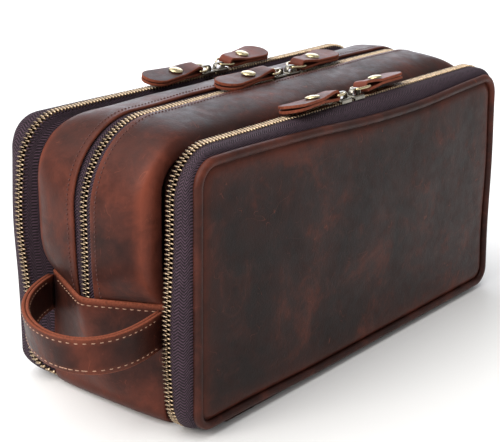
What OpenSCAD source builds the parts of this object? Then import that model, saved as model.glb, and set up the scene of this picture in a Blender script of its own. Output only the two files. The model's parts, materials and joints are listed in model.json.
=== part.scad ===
// Leather shaving kit bag. A middle compartment stands between two side pockets, each of the
// three has its own metal zip with two sliders, and a strap handle stands off the left end.
// Millimetres. The origin is the middle of the base, on the surface that the bag stands on.
// +X runs along the bag, away from the handle, -Y is the front and +Z is up.

/* [Bag] */
// Length of the bag, between the ends of its side panels
bag_l = 300; // [250:1:360]
// Height of the side panels, from the surface that the bag stands on
bag_h = 150; // [125:1:180]
// Depth of the middle compartment, from seam to seam
body_d = 84; // [70:1:110]
// Depth of each side pocket, from its seam to the middle of its piping
pocket_d = 24; // [23:1:40]
// How far the middle compartment's leather domes out past the side panels
dome = 11; // [8:0.5:16]
// How far the seams between compartments lie inside the panels' outline
valley = 3; // [2:0.5:5]
// Radius of the panels' upper corners
corner_r = 18; // [15:1:30]
// Radius of the panels' lower corners
foot_r = 10; // [8:1:16]
// Diameter of the piping round each side panel
piping_d = 5; // [4:0.5:6]

/* [Materials] */
// Thickness of the leather
leather_t = 2; // [1.4:0.1:2.4]
// Thickness of the stiffening board
board_t = 1.2; // [0.8:0.1:1.6]
// Thickness of the lining cloth
lining_t = 0.8; // [0.5:0.1:1]

/* [Zips] */
// Width of a closed chain of teeth
chain_w = 5.8; // [5:0.1:7]
// Height of the teeth
chain_t = 2.4; // [2:0.1:3]
// Thickness of the zip tape
tape_t = 0.9; // [0.6:0.1:1]
// Space between the two rows of teeth
row_gap = 0.3; // [0.2:0.05:0.4]
// Distance from a pocket's seam to the middle of its chain
ridge_d = 11; // [9:0.5:13]
// How far a pocket's chain stands out past the panels' outline
ridge_h = 5; // [4:0.5:7]
// Width of the gap between the leather edges along the middle zip
mouth_w = 14; // [12:0.5:18]
// How far above the handle's strap the middle zip ends
zip_end_gap = 1; // [0.5:0.5:10]

/* [Sliders and pulls] */
// Length of a slider
slider_l = 12; // [10:0.5:14]
// Width of a slider
slider_w = 9.4; // [8.6:0.1:10.5]
// Thickness of a slider's plate
plate_t = 1.2; // [1:0.1:1.6]
// Height of the link's pivot above a slider's plate
pivot_h = 2.6; // [2.4:0.1:3.4]
// Diameter of the link's wire
wire_d = 1.6; // [1.2:0.1:2]
// Length of the link, between its two bars
link_l = 10; // [10:0.5:14]
// Length of a pull tab, from the link's outer bar to its round end
tab_l = 43; // [40:1:56]
// Width of a pull tab at its round end
tab_w = 18; // [15:0.5:21]
// Width of a pull tab at its fold
fold_w = 8.5; // [8:0.5:13]
// Thickness of each of a pull tab's two layers
tab_layer_t = 2; // [1.6:0.1:2.2]
// Diameter of the rivet's head
rivet_d = 8.8; // [7:0.2:10]
// Distance from a pull tab's fold to its rivet
rivet_at = 17.5; // [16:0.5:28]
// How far the side pockets' pulls tip towards the middle of the bag, in degrees
pocket_tip = 12; // [0:1:12]
// How far the middle zip's pulls tip towards the front, in degrees
main_tip = 5; // [0:1:6]
// How far the pulls that point away from the handle swing towards the rear, in degrees
right_swing = 8; // [0:1:8]
// Where the middle zip's sliders meet, along the bag
main_meet_x = 6; // [-20:1:20]
// Where the front pocket's sliders meet, along the bag
front_meet_x = -3; // [-20:1:20]
// Where the rear pocket's sliders meet, along the bag
rear_meet_x = 2; // [-20:1:20]

/* [Handle] */
// Width of the handle's strap
handle_w = 20; // [18:1:26]
// Height of the strap's lower edge
handle_z = 47; // [30:1:50]
// How far the loop stands out past the ends of the side panels
handle_reach = 55; // [45:1:65]
// How far the loop leans towards the front
handle_lean = 20; // [0:1:25]
// Thickness of each of the strap's two layers
strap_layer_t = 2; // [1.6:0.1:2.4]

/* [Hidden] */
$fn = 64;

clearance = 0.5; // between pieces of different bodies
seat = 0.05; // between pieces that are sewn together
cut_over = 1; // how far a cutting shape runs past what it cuts
sheet = 0.1; // thickness of the thin layers that a hull joins
facet = 3; // longest straight piece of the dome's arc

seam_y = body_d / 2;
piping_y = seam_y + pocket_d;
piping_r = piping_d / 2;
piping_proud = 1; // how far the piping stands out past the panel's outline
piping_inset = piping_r - piping_proud;
ridge_y = seam_y + ridge_d;
chain_mid = ridge_h - chain_t / 2;
row_w = (chain_w - row_gap) / 2;
zip_end_z = handle_z + handle_w + zip_end_gap;

// The dome's cross-section is an arc through both seams and the crown
dome_r = (pow(seam_y, 2) + pow(dome + valley, 2)) / (2 * (dome + valley));
// Height of the dome over the panels' outline at y, a depth under the leather's face
function dome_n(y, depth = 0) = dome - dome_r + sqrt(pow(dome_r - depth, 2) - y * y);
main_tape_depth = leather_t + seat;
tape_lap = 8; // how far the middle zip's tape runs under the leather
main_chain_top = dome_n(0, main_tape_depth + tape_t / 2) + chain_t / 2;

// The base's ends stand upright above stand_z, and draw in below it to the floor
stand_z = 18;
draw_z = 7; // where they have drawn in by draw_in
draw_in = 2.5;
floor_in = 7; // how far they have drawn in at the floor
board_end_gap = 13; // from the ends of the panels to the base board
board_side_gap = 4; // from the seams to the base board

wall_inset = clearance - dome_n(seam_y, leather_t);
wall_foot = leather_t + clearance;
lining_inset = 2; // how far a lining or a board lies inside the leather that it backs
panel_inset = piping_inset + piping_r + seat;
panel_face_y = piping_y + 1.2; // the panel's face stands a little outside the piping's middle
panel_back_y = panel_face_y - leather_t;
row_foot = 6; // height at which a pocket's rows of teeth end
fold_x = bag_l / 2 - 28; // half the length of a pocket's bottom strip

slider_gap = 0.3; // between the chain and a slider's plate
lip_t = 0.8;
lip_drop = 1;
wire_play = 0.4; // between the wire and what it turns in
wire_bore_r = wire_d / 2 + wire_play;
bail_t = 2.4;
bail_r = wire_bore_r + 1.2;
bail_l = 2 * bail_r + 1.2;
link_inner_w = bail_t + wire_d + 0.6;
link_outer_w = fold_w + wire_d + 0.6;
link_neck = 4.5; // length of the link's straight arms beside the fold
link_arm_t = 0.7 * wire_d;
fold_r = wire_bore_r + 0.9 * tab_layer_t; // the leather is stretched thinner round the wire
rivet_post_r = 1.5;
rivet_head_t = 1.6;
rivet_foot_t = 0.8;
rivet_foot_d = rivet_d - 2;

strap_root = 4; // how far inside the panels' outline the strap is sewn in

leather_brown = "#3d2825";
raw_edge_tan = "#9a5a3a";
tape_purple = "#3b2a35";
brass = "#b49a62";
nickel = "#a8a49a";
board_grey = "#8c8479";
lining_tan = "#8a6a4c";

// [name, y of the chain, top of the chain over the outline, meeting x, side of the lip, tip]
ZIPS = [
    ["main", 0, main_chain_top, main_meet_x, -1, main_tip],
    ["front", -ridge_y, ridge_h, front_meet_x, -1, -pocket_tip],
    ["rear", ridge_y, ridge_h, rear_meet_x, 1, pocket_tip],
];
// [name, way that the pull points along X, swing]
SIDES = [["left", -1, 0], ["right", 1, right_swing]];
PIECES = ["slider", "link", "pull_tab", "rivet"];

// ---- Shapes that repeat ----

// Carries a section over the top and down both ends of the bag. The section is drawn with its
// distance past the panels' outline as x, and y as y.
module arch(foot) {
    flat = bag_l / 2 - corner_r;
    rise = bag_h - corner_r;
    translate([flat, 0, rise]) rotate([0, -90, 0]) linear_extrude(2 * flat)
        from_corner() children();
    translate([flat, 0, foot]) linear_extrude(rise - foot) from_corner() children();
    translate([-flat, 0, rise]) rotate([0, 180, 0]) linear_extrude(rise - foot)
        from_corner() children();
    for (side = [-1, 1])
        translate([side * flat, 0, rise]) rotate([-90, 0, 0]) rotate([0, 0, side < 0 ? 180 : -90])
            rotate_extrude(angle = 90) from_corner() children();
}

module from_corner() { translate([corner_r, 0]) children(); }

// A strip of the dome's section from y0 to y1, between two depths under the leather's face
module dome_strip(y0, y1, depth0, depth1) {
    steps = ceil((y1 - y0) / facet);
    function along(i) = y0 + (y1 - y0) * i / steps;
    polygon(concat(
        [for (i = [0:steps]) [dome_n(along(i), depth0), along(i)]],
        [for (i = [steps:-1:0]) [dome_n(along(i), depth1), along(i)]]
    ));
}

// The rounded outline of a panel in the XZ plane, inset from the bag's outline
module panel_outline(inset, foot, low_r) {
    half = bag_l / 2 - inset;
    top_r = corner_r - inset;
    hull() for (side = [-1, 1]) {
        translate([side * (half - top_r), bag_h - inset - top_r]) circle(top_r);
        translate([side * (half - low_r), foot + low_r]) circle(low_r);
    }
}

// A flat panel between two distances from the middle of the bag
module flat_panel(y0, y1, inset, foot, low_r) {
    translate([0, y1, 0]) rotate([90, 0, 0]) linear_extrude(y1 - y0)
        panel_outline(inset, foot, low_r);
}

// The bag's plan at its ends: the dome's arc at both ends, at a depth under the leather's face
module body_plan(depth, end_x, spread = 0) {
    steps = 24;
    function y_at(i) = -seam_y + 2 * seam_y * i / steps;
    function x_at(y) = end_x + dome_n(y, depth);
    square_y = seam_y + spread;
    polygon(concat(
        [for (i = [0:steps]) [x_at(y_at(i)), y_at(i)]],
        spread > 0 ? [[x_at(seam_y), square_y], [-x_at(seam_y), square_y]] : [],
        [for (i = [steps:-1:0]) [-x_at(y_at(i)), y_at(i)]],
        spread > 0 ? [[-x_at(seam_y), -square_y], [x_at(seam_y), -square_y]] : []
    ));
}

module front() { mirror([0, 1, 0]) children(); }

// ---- Middle compartment ----

// The base's outer form at a depth under its face. Spread widens it past the seams, to cut with.
module tub_form(depth, spread) {
    hull() {
        translate([0, 0, stand_z]) linear_extrude(zip_end_z - stand_z + spread)
            body_plan(depth, bag_l / 2, spread);
        translate([0, 0, draw_z]) linear_extrude(sheet)
            body_plan(depth, bag_l / 2 - draw_in, spread);
        translate([0, 0, depth]) linear_extrude(sheet) square(
            [bag_l - 2 * (floor_in + depth), body_d + 2 * spread], center = true);
    }
}

// One strip of leather: up the left end, under the bag and up the right end
module base_leather() {
    color(leather_brown) difference() {
        tub_form(0, 0);
        tub_form(leather_t, cut_over);
    }
}

module base_board() {
    color(board_grey) translate([0, 0, leather_t + board_t / 2]) cube(
        [bag_l - 2 * board_end_gap, body_d - 2 * board_side_gap, board_t], center = true);
}

module gusset() {
    color(leather_brown) arch(zip_end_z) dome_strip(mouth_w / 2, seam_y, 0, leather_t);
}

module main_tape() {
    color(tape_purple) arch(zip_end_z)
        dome_strip(chain_w / 2, mouth_w / 2 + tape_lap, main_tape_depth, main_tape_depth + tape_t);
}

module main_teeth() {
    color(brass) arch(zip_end_z) translate([main_chain_top - chain_t, row_gap / 2])
        square([chain_t, row_w]);
}

module wall() {
    color(leather_brown) flat_panel(seam_y - leather_t, seam_y, wall_inset, wall_foot, stand_z);
}

module wall_lining() {
    color(lining_tan) flat_panel(seam_y - leather_t - lining_t, seam_y - leather_t,
        wall_inset + lining_inset, wall_foot + board_t, stand_z - board_t);
}

// ---- Side pockets ----

module pocket_bottom() {
    y0 = seam_y + clearance;
    color(leather_brown) translate([-fold_x, y0, 0])
        cube([2 * fold_x, piping_y - piping_r - clearance - y0, leather_t]);
}

// A strip of tape between a row of teeth and the edge that it is sewn to
module tape_section(teeth_y, edge_y, edge_n) {
    polygon([
        [chain_mid - tape_t / 2, teeth_y], [chain_mid + tape_t / 2, teeth_y],
        [edge_n + tape_t / 2, edge_y], [edge_n - tape_t / 2, edge_y]
    ]);
}

module pocket_body_tape() {
    color(tape_purple) arch(row_foot)
        tape_section(ridge_y - chain_w / 2, seam_y + clearance, -valley);
}

module panel_tape() {
    color(tape_purple) arch(row_foot)
        tape_section(ridge_y + chain_w / 2, piping_y - piping_r - seat, -piping_inset);
}

module tooth_row(side) {
    color(brass) arch(row_foot)
        translate([ridge_h - chain_t, ridge_y + side * (chain_w + row_gap) / 4 - row_w / 2])
            square([chain_t, row_w]);
}

module panel_leather() {
    color(leather_brown) flat_panel(panel_back_y, panel_face_y, panel_inset, piping_d + seat,
        foot_r - panel_inset);
}

// A backing sheet that fits inside the panel's leather
module panel_backing(y1, t) {
    flat_panel(y1 - t, y1, panel_inset + lining_inset, piping_d + lining_inset,
        foot_r - panel_inset - lining_inset);
}

module panel_board() { color(board_grey) panel_backing(panel_back_y, board_t); }

module panel_lining() { color(lining_tan) panel_backing(panel_back_y - board_t, lining_t); }

module piping() {
    half = bag_l / 2 - piping_inset;
    top = bag_h - piping_inset;
    top_r = corner_r - piping_inset;
    low_r = foot_r - piping_inset;
    color(leather_brown) translate([0, piping_y, 0]) {
        for (z = [piping_r, top]) let (r = z == top ? top_r : low_r)
            translate([r - half, 0, z]) rotate([0, 90, 0]) cylinder(r = piping_r, h = 2 * (half - r));
        for (side = [-1, 1]) {
            translate([side * half, 0, piping_r + low_r])
                cylinder(r = piping_r, h = top - top_r - piping_r - low_r);
            translate([side * (half - top_r), 0, top - top_r]) rotate([-90, 0, 0])
                rotate([0, 0, side < 0 ? 180 : -90]) piping_bend(top_r);
            translate([side * (half - low_r), 0, piping_r + low_r]) rotate([-90, 0, 0])
                rotate([0, 0, side < 0 ? 90 : 0]) piping_bend(low_r);
        }
    }
}

module piping_bend(r) { rotate_extrude(angle = 90) translate([r, 0]) circle(piping_r); }

// ---- Handle ----

// The strap's middle line in plan, for a from 90 at the rear seam to -90 at the front one
function strap_at(a) = [
    -(bag_l / 2 - strap_root + (handle_reach + strap_root) * pow(cos(a), 0.8)),
    (seam_y - strap_layer_t) * sin(a) - handle_lean * cos(a)
];

function strap_side(a) =
    let (d = strap_at(max(a - 1, -90)) - strap_at(min(a + 1, 90))) [-d[1], d[0]] / norm(d);

module strap_layer(inner, outer) {
    steps = 60;
    function angle(i) = 90 - 180 * i / steps;
    function point(i, off) = strap_at(angle(i)) + off * strap_side(angle(i));
    difference() {
        translate([0, 0, handle_z]) linear_extrude(handle_w) polygon(concat(
            [for (i = [0:steps]) point(i, inner)], [for (i = [steps:-1:0]) point(i, outer)]));
        translate([0, 0, handle_z - cut_over]) linear_extrude(handle_w + 2 * cut_over)
            body_plan(-seat, bag_l / 2);
    }
}

module handle_inner_layer() { color(leather_brown) strap_layer(0, strap_layer_t); }

module handle_outer_layer() { color(leather_brown) strap_layer(-strap_layer_t, 0); }

// ---- Sliders, links and pulls ----

module slider(lip_side) {
    color(nickel) {
        translate([0, 0, plate_t / 2]) cube([slider_l, slider_w, plate_t], center = true);
        translate([-slider_l / 2, lip_side * (slider_w - lip_t) / 2 - lip_t / 2, -lip_drop])
            cube([slider_l, lip_t, lip_drop]);
        translate([0, 0, plate_t]) difference() {
            union() {
                translate([-bail_l / 2, -bail_t / 2, 0]) cube([bail_l, bail_t, pivot_h]);
                translate([0, 0, pivot_h]) rotate([90, 0, 0])
                    cylinder(r = bail_r, h = bail_t, center = true);
            }
            translate([0, 0, pivot_h]) rotate([90, 0, 0])
                cylinder(r = wire_bore_r, h = bail_t + cut_over, center = true);
        }
    }
}

// A wire loop with five corners: a round bar through the bail, a longer one in the tab's fold
module link() {
    inner = link_inner_w / 2;
    outer = link_outer_w / 2;
    wire_r = wire_d / 2;
    neck_x = link_l - link_neck;
    color(brass) {
        for (bar = [[0, inner], [link_l, outer]]) translate([bar[0], 0, 0]) rotate([90, 0, 0])
            cylinder(r = wire_r, h = 2 * (bar[1] + wire_r), center = true);
        translate([0, 0, -link_arm_t / 2]) linear_extrude(link_arm_t) for (side = [-1, 1])
            polygon([for (p = [
                [0, inner - wire_r], [neck_x, outer - wire_r], [link_l, outer - wire_r],
                [link_l, outer + wire_r], [neck_x, outer + wire_r], [0, inner + wire_r]
            ]) [p[0], side * p[1]]]);
    }
}

module pull_tab() {
    color(raw_edge_tan) translate([link_l, 0, 0]) difference() {
        union() {
            rotate([90, 0, 0]) cylinder(r = fold_r, h = fold_w, center = true);
            translate([0, 0, -tab_layer_t]) linear_extrude(2 * tab_layer_t) hull() {
                translate([0, -fold_w / 2]) square([sheet, fold_w]);
                translate([tab_l - tab_w / 2, 0]) circle(d = tab_w);
            }
        }
        rotate([90, 0, 0]) cylinder(r = wire_bore_r, h = fold_w + cut_over, center = true);
        translate([rivet_at, 0, 0])
            cylinder(r = rivet_post_r + seat, h = 2 * (tab_layer_t + cut_over), center = true);
    }
}

module rivet() {
    rise = (pow(rivet_d / 2, 2) + pow(rivet_head_t, 2)) / (2 * rivet_head_t);
    color(brass) translate([link_l + rivet_at, 0, 0]) {
        translate([0, 0, -tab_layer_t]) cylinder(r = rivet_post_r, h = 2 * tab_layer_t);
        translate([0, 0, -tab_layer_t - rivet_foot_t]) cylinder(d = rivet_foot_d, h = rivet_foot_t);
        translate([0, 0, tab_layer_t]) intersection() {
            translate([0, 0, rivet_head_t - rise]) sphere(r = rise);
            cylinder(d = rivet_d, h = rivet_head_t);
        }
    }
}

// Puts a slider's pieces on its chain, with the pull pointing away from the meeting point
module at_slider(zip, side) {
    translate([zip[3] + side * (slider_l / 2 + clearance), zip[1], bag_h + zip[2] + slider_gap])
        rotate([0, 0, side < 0 ? 180 : 0]) children();
}

// Puts a link and its pull on a slider's pivot, tipped and swung as they lie
module at_pivot(zip, side) {
    translate([0, 0, plate_t + pivot_h]) rotate([side[1] * zip[5], 0, side[2]]) children();
}

// ---- The assembly ----

base_leather();
base_board();
handle_outer_layer();
handle_inner_layer();

gusset();  // rear_gusset
main_tape();  // rear_main_tape
main_teeth();  // rear_main_teeth
wall();  // rear_wall
wall_lining();  // rear_wall_lining
pocket_bottom();  // rear_pocket_bottom
pocket_body_tape();  // rear_pocket_body_tape
tooth_row(-1);  // rear_pocket_body_teeth
panel_leather();  // rear_panel_leather
panel_board();  // rear_panel_board
panel_lining();  // rear_panel_lining
piping();  // rear_piping
panel_tape();  // rear_panel_tape
tooth_row(1);  // rear_panel_teeth

front() gusset();  // front_gusset
front() main_tape();  // front_main_tape
front() main_teeth();  // front_main_teeth
front() wall();  // front_wall
front() wall_lining();  // front_wall_lining
front() pocket_bottom();  // front_pocket_bottom
front() pocket_body_tape();  // front_pocket_body_tape
front() tooth_row(-1);  // front_pocket_body_teeth
front() panel_leather();  // front_panel_leather
front() panel_board();  // front_panel_board
front() panel_lining();  // front_panel_lining
front() piping();  // front_piping
front() panel_tape();  // front_panel_tape
front() tooth_row(1);  // front_panel_teeth

for (zip = ZIPS, side = SIDES) at_slider(zip, side[1]) {
    name = str(zip[0], "_", side[0], "_");
    slider(zip[4] * side[1]);
    at_pivot(zip, side) link();
    at_pivot(zip, side) pull_tab();
    at_pivot(zip, side) rivet();
}
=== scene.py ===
"""Looks for a leather shaving kit bag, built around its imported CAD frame.

Lengths are metres. +X runs along the bag away from the handle, -Y is the front, +Z is up, and
the origin is the middle of the base on the floor.
"""

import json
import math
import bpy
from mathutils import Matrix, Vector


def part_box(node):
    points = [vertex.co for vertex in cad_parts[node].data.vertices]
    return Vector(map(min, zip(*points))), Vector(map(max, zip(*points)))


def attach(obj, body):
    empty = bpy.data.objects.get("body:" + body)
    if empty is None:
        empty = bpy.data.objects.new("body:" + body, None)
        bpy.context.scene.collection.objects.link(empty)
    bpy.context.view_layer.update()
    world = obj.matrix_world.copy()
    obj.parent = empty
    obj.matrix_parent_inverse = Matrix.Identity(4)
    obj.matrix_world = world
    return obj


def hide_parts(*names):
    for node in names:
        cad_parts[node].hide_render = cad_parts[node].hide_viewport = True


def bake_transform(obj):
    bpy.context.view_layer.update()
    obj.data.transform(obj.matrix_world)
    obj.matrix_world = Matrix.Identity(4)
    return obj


bl_info = {
    "name": "Leather Shaving Kit Bag",
    "version": (1, 0, 0),
    "blender": (4, 5, 0),
    "location": "View3D > Sidebar > Kit Bag",
    "description": "Builds the leather, zips, sliders, pulls and handle of a shaving kit bag",
    "category": "Object",
}

import bpy
import numpy as np
from bpy.props import FloatProperty, FloatVectorProperty, PointerProperty
from mathutils import Matrix, Vector

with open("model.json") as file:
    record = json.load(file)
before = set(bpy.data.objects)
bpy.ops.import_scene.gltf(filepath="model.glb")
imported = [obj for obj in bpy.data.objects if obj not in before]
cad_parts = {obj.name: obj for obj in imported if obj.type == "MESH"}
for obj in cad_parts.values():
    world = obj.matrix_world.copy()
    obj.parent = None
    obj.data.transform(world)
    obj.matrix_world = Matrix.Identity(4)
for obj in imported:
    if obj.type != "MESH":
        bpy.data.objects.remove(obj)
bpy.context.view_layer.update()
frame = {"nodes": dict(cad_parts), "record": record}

MM = 0.001
HALVES = {"front": -1, "rear": 1}
HALF_BODY = {"front": "front_half", "rear": "rear_half"}
PANEL_BODY = {"front": "front_panel", "rear": "rear_panel"}

# ---------------------------------------------------------------- sizes from the frame


def node_box(name):
    """The two corners of a CAD node as arrays of x, y, z."""
    low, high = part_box(name)
    return np.array(low, float), np.array(high, float)


def joint(name):
    """A joint of the frame's record, by name."""
    for found in frame["record"]["behaviour"]["joints"]:
        if found["name"] == name:
            return found
    raise RuntimeError("there is no joint named " + name)


PIPING_LOW, PIPING_HIGH = node_box("rear_piping")
PIPING_R = (PIPING_HIGH[1] - PIPING_LOW[1]) / 2
PIPING_Y = (PIPING_HIGH[1] + PIPING_LOW[1]) / 2
PANEL_HALF = PIPING_HIGH[0] - 1 * MM  # the panels' outline, without the piping's overhang
PANEL_TOP = PIPING_HIGH[2] - 1 * MM
SEAM_Y = node_box("rear_gusset")[1][1]
MOUTH_Y = node_box("rear_gusset")[0][1]
ROW_HIGH = node_box("rear_pocket_body_teeth")[1]
RIDGE_Y = ROW_HIGH[1] + 0.15 * MM
RIDGE_TOP = ROW_HIGH[2] - PANEL_TOP
STRIP_END_X = node_box("rear_pocket_bottom")[1][0]
BASE_TOP = node_box("base_leather")[1][2]
HANDLE_LOW, HANDLE_HIGH = node_box("handle_outer_layer")


def linear(hex_colour):
    """An sRGB hex colour as linear red, green and blue."""
    parts = np.array([int(hex_colour[i : i + 2], 16) for i in (1, 3, 5)]) / 255
    return tuple(np.where(parts <= 0.04045, parts / 12.92, ((parts + 0.055) / 1.055) ** 2.4))


def length(name, text, default):
    """A size that a user may change, in metres."""
    return FloatProperty(name=name, description=text, default=default, unit="LENGTH", precision=5)


def colour(name, text, default):
    """A colour that a user may change, kept linear."""
    return FloatVectorProperty(
        name=name, description=text, default=linear(default), subtype="COLOR", size=3, min=0, max=1
    )


class KitBagSizes(bpy.types.PropertyGroup):
    """Sizes of what the CAD frame leaves to the looks."""

    leather: length("Leather", "Thickness of the leather", 2.0 * MM)
    dome_top: length("Dome Top", "How far the middle leather rises over the panels", 10.5 * MM)
    dome_end: length("Dome End", "How far the middle leather bulges at the ends", 14 * MM)
    valley: length("Valley", "How deep the seams lie under the panels' outline", 6 * MM)
    tooth_pitch: length("Tooth Pitch", "Distance between teeth on one side of a zip", 2.5 * MM)
    zip_stitch: length("Zip Stitch", "Pitch of the dark stitches along the middle zip", 2.6 * MM)
    strap_stitch: length("Strap Stitch", "Pitch of the pale stitches on the strap", 3.9 * MM)
    dents: length("Dents", "Depth of the soft dents in the leather", 0.7 * MM)


class KitBagColours(bpy.types.PropertyGroup):
    """Colours of the leather, tape, thread and metal."""

    leather_dark: colour("Dark Leather", "Waxed leather where it is least rubbed", "#22120f")
    leather_mid: colour("Leather", "Waxed leather", "#371d18")
    leather_red: colour("Rubbed Leather", "Leather where handling has drawn the wax", "#743a2a")
    edge_tan: colour("Raw Edge", "Cut edges of the leather", "#8c4c37")
    tape: colour("Tape", "Woven zip tape", "#140c10")
    # Painted highlight: the colour given to the crests of the tape's ribs
    tape_rib_highlight: colour("Tape Rib", "Raised ribs of the woven tape", "#4e3a47")
    thread_dark: colour("Dark Thread", "Thread along the middle zip", "#4f2119")
    thread_pale: colour("Pale Thread", "Thread on the strap and the base", "#b98e74")
    brass: colour("Brass", "Antique brass teeth", "#b39d82")
    rivet: colour("Rivet", "Pale brass rivets", "#cbbb94")
    nickel: colour("Nickel", "Dark nickel sliders", "#8f8a80")
    lining: colour("Lining", "Cotton lining", "#6b4d38")
    board: colour("Board", "Fibre board", "#7a7268")


# ---------------------------------------------------------------- mesh helpers


def ring_faces(rows, ring, closed):
    """Faces of a grid of rows by ring points, as one array for each number of corners: quads
    between neighbouring rings, and a cap at each end unless the grid is closed on itself."""
    span = rows if closed else rows - 1
    i, j = np.meshgrid(np.arange(span), np.arange(ring), indexing="ij")
    i, j = i.ravel(), j.ravel()
    up, along = (i + 1) % rows, (j + 1) % ring
    quads = np.stack([i * ring + j, i * ring + along, up * ring + along, up * ring + j], 1)
    if closed:
        return [quads]
    cap = np.arange(ring)
    return [quads, np.stack([cap[::-1], cap + (rows - 1) * ring])]


def volume(points, faces):
    """Six times the signed volume inside a closed mesh, summed over fans of each face."""
    total = 0.0
    for some in faces:
        corners = points[some]
        for k in range(1, some.shape[1] - 1):
            a, b, c = corners[:, 0], corners[:, k], corners[:, k + 1]
            total += np.einsum("ij,ij->", a, np.cross(b, c))
    return total


class Shell:
    """Closed surfaces that are gathered into one mesh, with values kept at each point."""

    def __init__(self):
        self.points, self.faces, self.values = [], [], {}
        self.count = 0

    def keep(self, points, faces, values):
        """Takes in points, faces and each named value at every point."""
        for some in faces:
            self.faces += some.tolist()
        for name in set(self.values) | set(values):
            kept = self.values.setdefault(name, [np.zeros(self.count)])
            kept.append(values.get(name, np.zeros(len(points))))
        self.points.append(points)
        self.count += len(points)
        return self

    def loft(self, grid, closed=False, **values):
        """Adds a grid of rings as one closed surface that faces outwards: capped at both ends,
        or closed on itself. Each value is spread over the grid."""
        points = np.asarray(grid, float).reshape(-1, 3)
        values = {name: np.broadcast_to(v, grid.shape[:2]).ravel() for name, v in values.items()}
        faces = ring_faces(*grid.shape[:2], closed)
        turned = -1 if volume(points - points.mean(0), faces) < 0 else 1
        return self.keep(points, [f[:, ::turned] + self.count for f in faces], values)

    def repeat(self, shape, faces, places, axes):
        """Adds copies of a small shape: each point is place + shape in that place's own axes."""
        points = places[:, None, :] + np.einsum("kc,ncd->nkd", shape, axes)
        turned = -1 if volume(points[0] - points[0].mean(0), faces) < 0 else 1
        starts = self.count + np.arange(len(places))[:, None, None] * len(shape)
        copies = [(starts + f[:, ::turned]).reshape(-1, f.shape[1]) for f in faces]
        return self.keep(points.reshape(-1, 3), copies, {})

    def piece(self, name, material, body, slot, replaces=(), crease=None):
        """Makes the Blender object, with its values as attributes and u, v as its UV map."""
        points = np.concatenate(self.points)
        mesh = bpy.data.meshes.new(name)
        mesh.from_pydata(points, [], self.faces)
        mesh.polygons.foreach_set("use_smooth", [True] * len(mesh.polygons))
        values = {key: np.concatenate(kept) for key, kept in self.values.items()}
        if "u" in values and "v" in values:
            corner = np.empty(len(mesh.loops), np.int32)
            mesh.loops.foreach_get("vertex_index", corner)
            uv = np.stack([values.pop("u")[corner], values.pop("v")[corner]], 1)
            mesh.uv_layers.new(name="UVMap").data.foreach_set("uv", uv.ravel())
        for key, kept in values.items():
            attribute = mesh.attributes.new(key, "FLOAT", "POINT")
            attribute.data.foreach_set("value", kept.astype(np.float32))
        mesh.materials.append(material)
        if crease:
            mesh.set_sharp_from_angle(angle=math.radians(crease))
        mesh.update()
        made = in_scene(name, mesh)
        if body:
            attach(made, body)
        if replaces:
            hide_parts(*replaces)
        return made


def in_scene(name, data):
    """A new object in the scene, at the origin."""
    made = bpy.data.objects.new(name, data)
    bpy.context.scene.collection.objects.link(made)
    return made


def unit(vectors):
    """The same directions at length 1."""
    return vectors / np.linalg.norm(vectors, axis=-1, keepdims=True)


def signed_power(value, power):
    """A value's size to a power, with its sign kept: below 1 it squares off a circle."""
    return np.sign(value) * np.abs(value) ** power


def thick(curve, wall):
    """A closed loop round a curve: its outer side, a round end, its inner side, a round end."""
    along = unit(np.gradient(curve, axis=0))
    side = np.stack([along[:, 1], -along[:, 0]], 1)
    inner = curve - side * wall
    turn = np.radians([45, 90, 135])[:, None]

    def end(at):
        middle = (curve[at] + inner[at]) / 2
        out = side[at] * np.cos(turn) + along[at] * np.sin(turn) * (1 if at else -1)
        return middle + out * wall / 2

    return np.concatenate([curve, end(-1), inner[::-1], end(0)[::-1]])


def arch_grid(half, top, corner, foot, run=None, foot_corner=None, counts=(6, 10, 26, 22, 40)):
    """x and z of each column of a section as it is carried up one end, over the top and down.

    Each column has its own half length, top, corner radius and foot: it rises along x = -half,
    turns through a quarter circle of radius corner, and crosses at z = top. With run, it starts
    under the bag at x = -run and turns up through a quarter circle of radius foot_corner.
    """
    half, top, corner, foot = np.broadcast_arrays(*np.atleast_1d(half, top, corner, foot))
    low = np.zeros_like(half) if foot_corner is None else np.broadcast_to(foot_corner, half.shape)
    xs, zs = [], []

    def share(count, whole=False):
        return np.linspace(0, 1, count, endpoint=whole)[:, None]

    if run is not None:
        t = share(counts[0])
        xs.append(-run + (run - half + low) * t)
        zs.append(foot + 0 * t)
        b = share(counts[1]) * math.pi / 2
        xs.append(low - half - low * np.sin(b))
        zs.append(foot + low * (1 - np.cos(b)))
    t = share(counts[2])
    xs.append(-half + 0 * t)
    zs.append(foot + low + (top - corner - foot - low) * t)
    a = share(counts[3]) * math.pi / 2
    xs.append(-half + corner * (1 - np.cos(a)))
    zs.append(top - corner * (1 - np.sin(a)))
    t = share(counts[4], True)
    xs.append((corner - half) * (1 - t))
    zs.append(top + 0 * t)
    x, z = np.concatenate(xs), np.concatenate(zs)
    return np.concatenate([x, -x[-2::-1]]), np.concatenate([z, z[-2::-1]])


def along_length(x, z):
    """Distance travelled along each column."""
    step = np.hypot(np.diff(x, axis=0), np.diff(z, axis=0))
    return np.concatenate([np.zeros((1, x.shape[1])), np.cumsum(step, axis=0)])


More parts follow.
